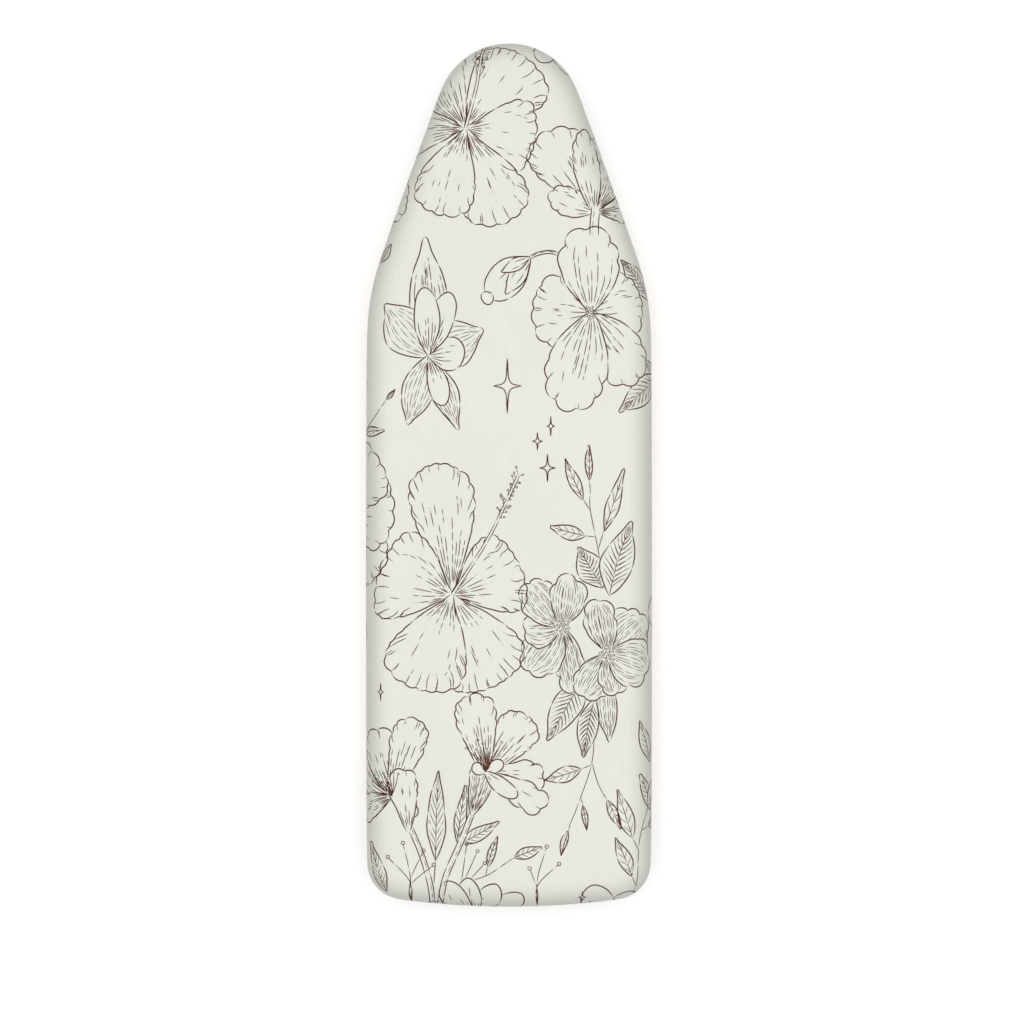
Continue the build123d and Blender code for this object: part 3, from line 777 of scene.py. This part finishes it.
def step_lengths(curve):
    """From each point of a closed line to the next."""
    return np.linalg.norm(np.roll(curve, -1, axis=0) - curve, axis=1)


def tree_of(curve):
    tree = KDTree(len(curve))
    for i, (x, y) in enumerate(curve):
        tree.insert((x, y, 0), i)
    tree.balance()
    return tree


def nearest_on(curve, tree, points):
    """Where on a closed line some points are nearest, in whole and part steps."""
    first = np.array([tree.find((x, y, 0))[1] for x, y in points])
    best, where = np.full(len(points), np.inf), np.zeros(len(points))
    for a in (first, (first - 1) % len(curve)):
        way = curve[(a + 1) % len(curve)] - curve[a]
        t = np.clip(((points - curve[a]) * way).sum(1) / (way * way).sum(1), 0, 1)
        gap = np.linalg.norm(points - curve[a] - t[:, None] * way, axis=1)
        better = gap < best
        best, where = np.where(better, gap, best), np.where(better, a + t, where)
    return where


def along_ring(values, where):
    """Values round a closed line at whole and part steps."""
    a = np.floor(where).astype(int) % len(values)
    t = where - np.floor(where)
    t = t[:, None] if values.ndim > 1 else t
    return values[a] * (1 - t) + values[(a + 1) % len(values)] * t


edge = softened(plan_of("cover"), 3)
edge_normal = outward(edge)
edge_tree = tree_of(edge)
edge_step = step_lengths(edge)
edge_bend = softened(step_lengths(edge_normal) / edge_step, 2)

# The hem's line, paired with the edge so that neither runs ahead of the other
hem_outer = softened(plan_of("hem_casing"), 3)
even_where = np.arange(len(edge)) * len(hem_outer) / len(edge)
half_way = len(hem_outer) / 2
lag = nearest_on(hem_outer, tree_of(hem_outer), edge) - even_where
hem_where = softened((lag + half_way) % len(hem_outer) - half_way, 2) + even_where
hem_point = along_ring(hem_outer, hem_where)
hem_inward = unit(-along_ring(outward(hem_outer), hem_where))


def arc(first, last, count):
    """Cosines and sines of evenly spaced angles in degrees."""
    return [(math.cos(a), math.sin(a)) for a in np.radians(np.linspace(first, last, count))]


# The section from the flat top down to the underside: outwards and up
section = [(-ROLL + ROLL * s, TOP_Z - ROLL_DROP * (1 - c)) for c, s in arc(0, 90, 46)]
section += [(-UNDER_RADIUS * (1 - c), BOTTOM_Z + UNDER_RADIUS * (1 - s)) for c, s in arc(0, 90, 19)]
section = np.array(section)
UNDER_S = along_of(section)[-1]
under_foot = edge - edge_normal * UNDER_RADIUS
wrap_length = np.linalg.norm(hem_point - under_foot, axis=1)

# The casing's own section, from the stitch line round the elastic and back
half = HEM_DEPTH / 2
casing = [(half * (1 + c), half * s) for c, s in arc(90, 270, 13)]
STITCH_ROW = len(casing) - 1  # where the casing's lower face starts
casing += [(HEM_WIDTH - half + half * c, half * s) for c, s in arc(-90, 90, 13)]
casing = np.array(casing + [(half, half)]) - casing[0]
CASING_S = along_of(casing)[-1]
reach = UNDER_S - ROLL + wrap_length + CASING_S  # flat cloth beyond the board's edge


def round_edge(points):
    """Where points of the flat cut belong round the board's edge, and how far out they lie."""
    where = nearest_on(edge, edge_tree, points)
    for _ in range(4):
        n = unit(along_ring(edge_normal, where))
        away = points - along_ring(edge, where)
        out = (away * n).sum(1)
        beside = away[:, 1] * n[:, 0] - away[:, 0] * n[:, 1]
        spread = np.maximum(1 + along_ring(edge_bend, where) * out, 0.3) * along_ring(edge_step, where)
        where = where + np.where(out > -ROLL - 2, np.clip(beside / spread, -2, 2), 0)
    where %= len(edge)
    n = unit(along_ring(edge_normal, where))
    return where, ((points - along_ring(edge, where)) * n).sum(1)


def places_round(count):
    return np.linspace(0, len(edge), count, endpoint=False)


def on_cut(where, out):
    """Points of the flat cut, by how far they lie beyond the board's edge."""
    return along_ring(edge, where) + along_ring(edge_normal, where) * np.reshape(out, (-1, 1))


# How much the cloth is drawn together at the hem, as the hem's length over the edge's
drawn_in = softened(np.clip(step_lengths(hem_point) / edge_step, 0.05, 1), 4)
FOLDS = 88
FOLDS_FROM = -6.0  # along the section from where the underside starts
FOLDS_RISE = 24.0  # the length over which they reach their height
FOLD_HEIGHT = 1.15
STEEPEST = 0.27  # of a fold's height over its width


def fold_wave(where):
    """The rise and fall of the folds round the edge, about -1.5 to 1.5."""
    a = where * 2 * math.pi / len(edge)
    return np.sin(FOLDS * a + 2.4 * np.sin(9 * a)) + 0.5 * np.sin(59 * a + 1.7 * np.sin(13 * a + 1))


def gathers(where, s):
    """How far the gathered cloth stands out, by place round the edge and along the section."""
    share = np.clip((s - UNDER_S) / along_ring(wrap_length, where), 0, 1)
    width = len(edge) / FOLDS * (1 + (along_ring(drawn_in, where) - 1) * share)
    near = eased(np.clip((s - UNDER_S - FOLDS_FROM) / FOLDS_RISE, 0, 1))
    return (0.5 + 0.33 * fold_wave(where)) * near * np.minimum(FOLD_HEIGHT, STEEPEST * width)


def heading(line, at, near):
    """The direction a section runs in, taken over a short stretch."""
    return unit(places_on(line, at + near) - places_on(line, at - near))


def smooth_surface(flat):
    """The cover without its gathers: places, outward directions, and how these lie round the edge."""
    where, out = round_edge(flat)
    n = unit(along_ring(edge_normal, where))
    s = out + ROLL
    placed = np.column_stack([flat, np.full(len(flat), TOP_Z)])
    up = np.tile((0.0, 0.0, 1.0), (len(flat), 1))

    def lay(which, plan, height, facing):
        placed[which] = np.column_stack([plan, np.broadcast_to(height, len(flat))])[which]
        up[which] = np.broadcast_to(facing, up.shape)[which]

    x, z = places_on(section, s).T
    dx, dz = heading(section, s, 0.2).T
    roll_up = np.column_stack([n * -dz[:, None], dx])
    lay((s > 0) & (s <= UNDER_S), along_ring(edge, where) + n * x[:, None], z, roll_up)

    hem, inward = along_ring(hem_point, where), along_ring(hem_inward, where)
    wrap = along_ring(wrap_length, where)
    foot = along_ring(under_foot, where)
    share = np.clip((s - UNDER_S) / wrap, 0, 1)
    lay(s > UNDER_S, foot + (hem - foot) * share[:, None], BOTTOM_Z, (0, 0, -1))

    c = np.clip(s - UNDER_S - wrap, 0, CASING_S)
    x, z = places_on(casing, c).T
    dx, dz = heading(casing, c, 0.3).T
    casing_up = np.column_stack([inward * dz[:, None], -dx])
    lay(s > UNDER_S + wrap, hem + inward * x[:, None], BOTTOM_Z + z, casing_up)
    return placed, up, where, s


def on_board(flat, sink=0.0):
    """Where points of the flat cut lie once the cover is on the board."""
    placed, up, where, s = smooth_surface(flat)
    x, y = flat.T
    give = 0.16 * np.sin(x / 23 + 0.8) * np.sin(y / 37) + 0.1 * np.sin(x / 9 + y / 14)
    lift = np.where(s > 0, gathers(where, s) + settled_at(where, s), give * np.clip(-s / 18, 0, 1))
    return placed + up * (lift - sink)[:, None]


# ---- The cloth between the roll and the elastic, settled by simulation ----
SETTLE_FROM = 9.0  # along the section, on the roll
SETTLE_COLUMNS = 520
SETTLE_ROWS = 16
SETTLE_FRAMES = 20
SPARE_CLOTH = 2.0  # height of the waves that hold the cloth's spare length in its flat cut
SETTLE_MOST = 1.4  # how far a point may move outwards
SETTLE_LEAST = -0.3
settled = np.zeros((SETTLE_ROWS, SETTLE_COLUMNS))


def settled_at(where, s):
    """How far the simulated cloth moved outwards, between the grid's places."""
    share = (s - SETTLE_FROM) / (UNDER_S + along_ring(wrap_length, where) - SETTLE_FROM)
    row = np.clip(share, 0, 1) * (SETTLE_ROWS - 1)
    column = where / len(edge) * SETTLE_COLUMNS
    i = np.minimum(row.astype(int), SETTLE_ROWS - 2)
    j = np.floor(column).astype(int)
    u, v = eased(row - i), eased(column - j)
    left, right = j % SETTLE_COLUMNS, (j + 1) % SETTLE_COLUMNS
    near = settled[i, left] * (1 - v) + settled[i, right] * v
    far = settled[i + 1, left] * (1 - v) + settled[i + 1, right] * v
    return near * (1 - u) + far * u


def settle_cloth():
    """Lets the band of cloth settle from its flat cut, held at the roll and at the stitch line."""
    columns = np.arange(SETTLE_COLUMNS)
    around = columns * len(edge) / SETTLE_COLUMNS
    share = np.repeat(np.linspace(0, 1, SETTLE_ROWS), SETTLE_COLUMNS)
    where = np.tile(around, SETTLE_ROWS)
    s = SETTLE_FROM + share * (UNDER_S + along_ring(wrap_length, where) - SETTLE_FROM)
    flat = on_cut(where, s - ROLL)
    up = smooth_surface(flat)[1]
    start = on_board(flat)
    faces = []
    for row in range(0, len(flat) - SETTLE_COLUMNS, SETTLE_COLUMNS):
        a, b = row + columns, row + (columns + 1) % SETTLE_COLUMNS
        faces += np.column_stack([a, a + SETTLE_COLUMNS, b + SETTLE_COLUMNS, b]).tolist()
    mesh = bpy.data.meshes.new("settling_band")
    mesh.from_pydata((start * MM).tolist(), [], faces)
    band = add_to_scene("settling_band", mesh)
    band.shape_key_add(name="on_board")
    cut = band.shape_key_add(name="flat_cut")
    extra = SPARE_CLOTH * fold_wave(where) * share**2
    cut.data.foreach_set("co", (np.column_stack([flat, extra]) * MM).ravel())
    held = band.vertex_groups.new(name="held")
    held.add([i for i in range(len(flat)) if share[i] in (0, 1)], 1.0, "REPLACE")
    cloth = band.modifiers.new("cloth", "CLOTH")
    settings = cloth.settings
    settings.vertex_group_mass = "held"
    settings.rest_shape_key = cut
    settings.quality = 8
    settings.mass = 0.1
    settings.bending_stiffness = 0.05
    settings.effector_weights.gravity = 0
    settings.use_pressure = True
    settings.uniform_pressure_force = 1.0
    cloth.collision_settings.use_collision = False
    for moment in range(SETTLE_FRAMES):
        scene.frame_set(moment + 1)
    shaped = band.evaluated_get(bpy.context.evaluated_depsgraph_get()).data
    end = np.zeros(len(flat) * 3)
    shaped.vertices.foreach_get("co", end)
    moved = ((end.reshape(-1, 3) / MM - start) * up).sum(1)
    scene.frame_set(1)
    bpy.data.objects.remove(band)
    return np.clip(moved, SETTLE_LEAST, SETTLE_MOST).reshape(settled.shape)


# ---- The cover, with its print cut in ----
BOUNDARY_STEP = 1.5
EDGE_CLEAR = 1.2  # from a ring of points to the cut edge
NEARBY = 0.25


def flat_ring(out, spacing):
    """Points round the flat cut at a distance beyond the board's edge."""
    where = places_round(round(len(edge) / spacing))
    return on_cut(where, out)[out < along_ring(reach, where) - EDGE_CLEAR]


def inner_points(pitch, inset):
    """A staggered grid over the flat of the top."""
    rows = enumerate(np.arange(-300, 300, pitch * 0.866))
    grid = np.array([(x + (k % 2) * pitch / 2, y) for k, y in rows for x in np.arange(-120, 120, pitch)])
    return grid[round_edge(grid)[1] < -inset]


def field_points(grid_pitch, roll_step, round_step, hem_step):
    """Points all over the flat cut, closer together where the cloth is gathered."""
    rings = [inner_points(grid_pitch, ROLL + 1)]
    for out in np.arange(-ROLL, reach.max(), roll_step):
        rings.append(flat_ring(out, hem_step if out > UNDER_S - ROLL - 8 else round_step))
    return np.vstack(rings)


def is_round(corners):
    """Whether four corners go round to the left without crossing."""
    step = np.roll(corners, -1, axis=0) - corners
    after = np.roll(step, -1, axis=0)
    return (step[:, 0] * after[:, 1] - step[:, 1] * after[:, 0] > 1e-4).all()


def ribbon_faces(line, width, taper):
    """Quads along a drawn line, each on its own where the line turns back sharply."""
    t = np.linspace(0, 1, len(line))
    press = taper + (1 - taper) * np.clip(np.minimum(t, 1 - t) / 0.18, 0, 1) ** 0.6
    half_width = left_side(line) * (width / 2 * press)[:, None]
    left, right = line + half_width, line - half_width
    for k in range(len(line) - 1):
        corners = np.array([left[k], right[k], right[k + 1], left[k + 1]])
        if not is_round(corners):
            way = line[k + 1] - line[k]
            side = left_of(way) / max(np.linalg.norm(way), 1e-6) * width * 0.4
            corners = np.array([line[k] + side, line[k] - side, line[k + 1] - side, line[k + 1] + side])
        if is_round(corners):
            yield corners


def cut_out(boundary, field, lines):
    """Triangles of the flat cut and its printed lines, and whether each carries ink."""
    points = [Vector(p) for p in boundary]
    faces = [tuple(range(len(points)))]
    points += [Vector(p) for p in field]
    for line, width, taper in lines:
        for corners in ribbon_faces(line, width, taper):
            faces.append(tuple(range(len(points), len(points) + 4)))
            points += [Vector(p) for p in corners]
    found, _, triangles, _, _, origins = delaunay_2d_cdt(points, [], faces, 0, 1e-4)
    kept = [(t, any(f > 0 for f in o)) for t, o in zip(triangles, origins) if 0 in o]
    return np.array([(p.x, p.y) for p in found]), kept


def trimmed(lines):
    """The printed lines, cut off where the cloth turns into its casing."""
    kept = []
    for line, width, taper in lines:
        where, out = round_edge(line)
        seen = out < along_ring(reach, where) - CASING_S - 1
        run = []
        for point, ok in [*zip(line, seen), (None, False)]:
            if ok:
                run.append(point)
                continue
            if len(run) > 1:
                kept.append((np.array(run), width, taper))
            run = []
    return kept


def cloth_normals(flat):
    """The cloth's own normals, from how nearby points lie."""
    ways = [on_board(flat + step) - on_board(flat - step) for step in np.eye(2) * NEARBY]
    return unit(np.cross(*ways))


def wound(flat, corners, up):
    """A triangle's corners in the order that turns its face up or down."""
    a, b, c = (flat[i] for i in corners)
    turns_left = (b[0] - a[0]) * (c[1] - a[1]) - (b[1] - a[1]) * (c[0] - a[0]) > 0
    return corners if turns_left == up else corners[::-1]


def make_cover():
    boundary_where = places_round(round(len(edge) / BOUNDARY_STEP))
    boundary = on_cut(boundary_where, along_ring(reach, boundary_where))
    field = field_points(grid_pitch=6.0, roll_step=2.2, round_step=3.6, hem_step=2.2)
    flat, triangles = cut_out(boundary, field, trimmed(drawn_lines))
    back_field = field_points(grid_pitch=12.0, roll_step=4.0, round_step=8.0, hem_step=3.2)
    back_flat, back_triangles = cut_out(boundary, back_field, [])
    count = len(flat)
    faces = [wound(flat, t, True) for t, _ in triangles]
    faces += [[i + count for i in wound(back_flat, t, False)] for t, _ in back_triangles]
    for i in range(len(boundary)):
        j = (i + 1) % len(boundary)
        faces.append((j, i, count + i, count + j))
    inks = np.zeros(len(faces), int)
    inks[:len(triangles)] = [ink for _, ink in triangles]
    mesh = bpy.data.meshes.new("cover_cloth")
    mesh.from_pydata((np.vstack([on_board(flat), on_board(back_flat, sink=CLOTH)]) * MM).tolist(), [], faces)
    mesh.materials.append(printed_cotton)
    mesh.materials.append(brown_ink)
    mesh.polygons.foreach_set("material_index", inks)
    mesh.polygons.foreach_set("use_smooth", [True] * len(faces))
    both = np.vstack([flat, back_flat])
    corners = np.zeros(len(mesh.loops), int)
    mesh.loops.foreach_get("vertex_index", corners)
    cut = mesh.uv_layers.new(name="cut")
    cut.data.foreach_set("uv", (both * MM / CUT_SPAN + 0.5)[corners].ravel())
    # The rim attribute is the mask of the painted shade: 0 on the flat top, rising to 1 over the roll and
    # just past the edge.
    rim = mesh.attributes.new("rim", "FLOAT", "POINT")
    rim.data.foreach_set("value", eased(np.clip((round_edge(both)[1] + ROLL) / (ROLL * 1.25), 0, 1)))
    normals = np.vstack([cloth_normals(flat), -cloth_normals(back_flat)])
    mesh.normals_split_custom_set_from_vertices(normals.tolist())
    mesh.update()
    cover = add_to_scene("cover_cloth", mesh)
    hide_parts("cover", "hem_casing")
    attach(cover, "top")
    make_stitching()


# ---- Foam, felt and stitching under the cover ----
FOAM_GAP = 0.35  # between the cover's inner face and the foam
BOARD_INSET = 5.0
RIM_POINTS = 320
SEAM_POINTS = 4000
SEAM_IN = 1.1  # from where the casing's lower face starts
SEAM_PROUD = 0.08
STITCH_LENGTH = 2.5
STITCH_PITCH = 3.2
STITCH_RADIUS = 0.3
STITCH_SIDES = 6
# A stitch's thickness along its length, as (share of its length, share of its radius)
STITCH = ((-0.5, 0.35), (-0.38, 0.85), (-0.1, 1.0), (0.1, 1.0), (0.38, 0.85), (0.5, 0.35))
board_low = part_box("top_board")[0].z / MM
felt_low, felt_high = (corner.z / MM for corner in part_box("felt_pad"))


def rim_ring(inset, z):
    """Points round the board's outline, moved inwards, at one level."""
    flat = on_cut(places_round(RIM_POINTS), -inset)
    return np.column_stack([flat, np.full(len(flat), z)])


def skin(bm, rows):
    """Smooth quads between one ring of corners and the next."""
    for a, b in zip(rows, rows[1:]):
        for k in range(len(a)):
            j = (k + 1) % len(a)
            bm.faces.new((a[k], a[j], b[j], b[k])).smooth = True


def finished(name, bm, finish):
    """A built shell as a piece of the top."""
    bmesh.ops.recalc_face_normals(bm, faces=bm.faces)
    mesh = bpy.data.meshes.new(name)
    bm.to_mesh(mesh)
    bm.free()
    mesh.materials.append(finish)
    thing = add_to_scene(name, mesh)
    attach(thing, "top")
    return thing


def lofted(name, rings, finish):
    """A closed shell through a row of rings, capped at both ends."""
    bm = bmesh.new()
    rows = [[bm.verts.new(p * MM) for p in ring] for ring in rings]
    skin(bm, rows)
    for row in (rows[0][::-1], rows[-1]):
        for face in bmesh.ops.triangulate(bm, faces=[bm.faces.new(row)])["faces"]:
            face.smooth = False
    return finished(name, bm, finish)


def make_foam():
    """Foam over the felt, pulled down round the board's edge."""
    normal = left_side(section)
    inner = section + normal * (-CLOTH - FOAM_GAP) * np.sign(normal[0, 1])
    rings = [rim_ring(-x, z) for x, z in inner[::3] if z > board_low + 0.6]
    low = board_low + 0.3
    rings += [rim_ring(3.0, low), rim_ring(BOARD_INSET, low), rim_ring(BOARD_INSET, felt_high + 0.2)]
    foam = lofted("foam_pad_soft", rings[::-1], cream_foam)
    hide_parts("foam_pad")


def make_felt():
    """The felt that lies on the board."""
    spans = ((0.9, felt_low), (0.2, felt_low + 0.5), (0.2, felt_high - 0.5), (0.9, felt_high))
    rings = [rim_ring(BOARD_INSET + 0.2 + inset, z) for inset, z in spans]
    felt = lofted("felt_sheet", rings, grey_felt)
    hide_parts("felt_pad")


def stitch_line():
    """Places along the casing's lower face, where it is sewn."""
    where = places_round(SEAM_POINTS)
    s = UNDER_S + along_ring(wrap_length, where) + along_of(casing)[STITCH_ROW] + SEAM_IN
    return on_board(on_cut(where, s - ROLL), sink=-SEAM_PROUD)


def make_stitching():
    """Short rods of thread that dip into the casing at both ends."""
    line = stitch_line()
    closed = np.vstack([line, line[:1]])
    long = along_of(closed)[-1]
    count = round(long / STITCH_PITCH)
    bm = bmesh.new()
    for k in range(count):
        rows = []
        for share, thick in STITCH:
            along = long * (k + 0.5) / count + share * STITCH_LENGTH
            at, after = places_on(closed, np.array([along, along + 0.1]))
            side = np.cross(after - at, (0, 0, 1))
            side /= np.linalg.norm(side)
            dip = 0.22 * (abs(share) / 0.5) ** 3
            row = []
            for j in range(STITCH_SIDES):
                a = 2 * math.pi * j / STITCH_SIDES
                out = side * math.cos(a) + np.array([0, 0, math.sin(a)])
                row.append(bm.verts.new((at + out * thick * STITCH_RADIUS + (0, 0, dip)) * MM))
            rows.append(row)
        skin(bm, rows)
        bm.faces.new(rows[0][::-1])
        bm.faces.new(rows[-1])
    stitching = finished("hem_stitching", bm, sewing_thread)
    return stitching


draw_nose()
draw_upper()
draw_twinkles()
draw_middle()
draw_bouquet()
draw_lower()
settled[:] = settle_cloth()
make_foam()
make_felt()
make_cover()


# ---- Wood, metal and rubber pieces ----
def dress(material, *endings):
    """Gives a finish to the CAD nodes whose names end like this."""
    for name in nodes:
        if name.endswith(endings):
            for slot in nodes[name].material_slots:
                slot.material = material


dress(birch_ply(), "_board")
dress(powder_coat(), "_leg", "_bracket")
dress(zinc_plate(), "_pin", "_clip", "_screws", "_bolt", "_washer")
dress(aged_brass(), "_eyelet", "_insert")
dress(moulded_knob(), "_knob")
dress(black_rubber(), "_leg_stop", "foot_front_left", "foot_front_right", "foot_rear_left", "foot_rear_right")
dress(milky_nylon(), "_washers")
dress(ribbed_elastic, "_elastic")

# ---- Floor ----
bpy.ops.object.select_all(action="DESELECT")
bpy.ops.mesh.primitive_plane_add(size=40, location=(0, 0, 0))
floor = bpy.context.object
floor.name = "floor"
white = Finish("white_floor", (0.9, 0.9, 0.9), 0.9, specular=0.1)
white.set("Emission Color", (1, 1, 1, 1))
fall = white.add("TexGradient", Vector=white.place((0.3, 0.3, 0.3)), gradient_type="SPHERICAL")
white.ramp(fall.outputs["Fac"], ((0.2, 0.75), (0.85, 0.33)), "Emission Strength")
floor.data.materials.append(white.material)
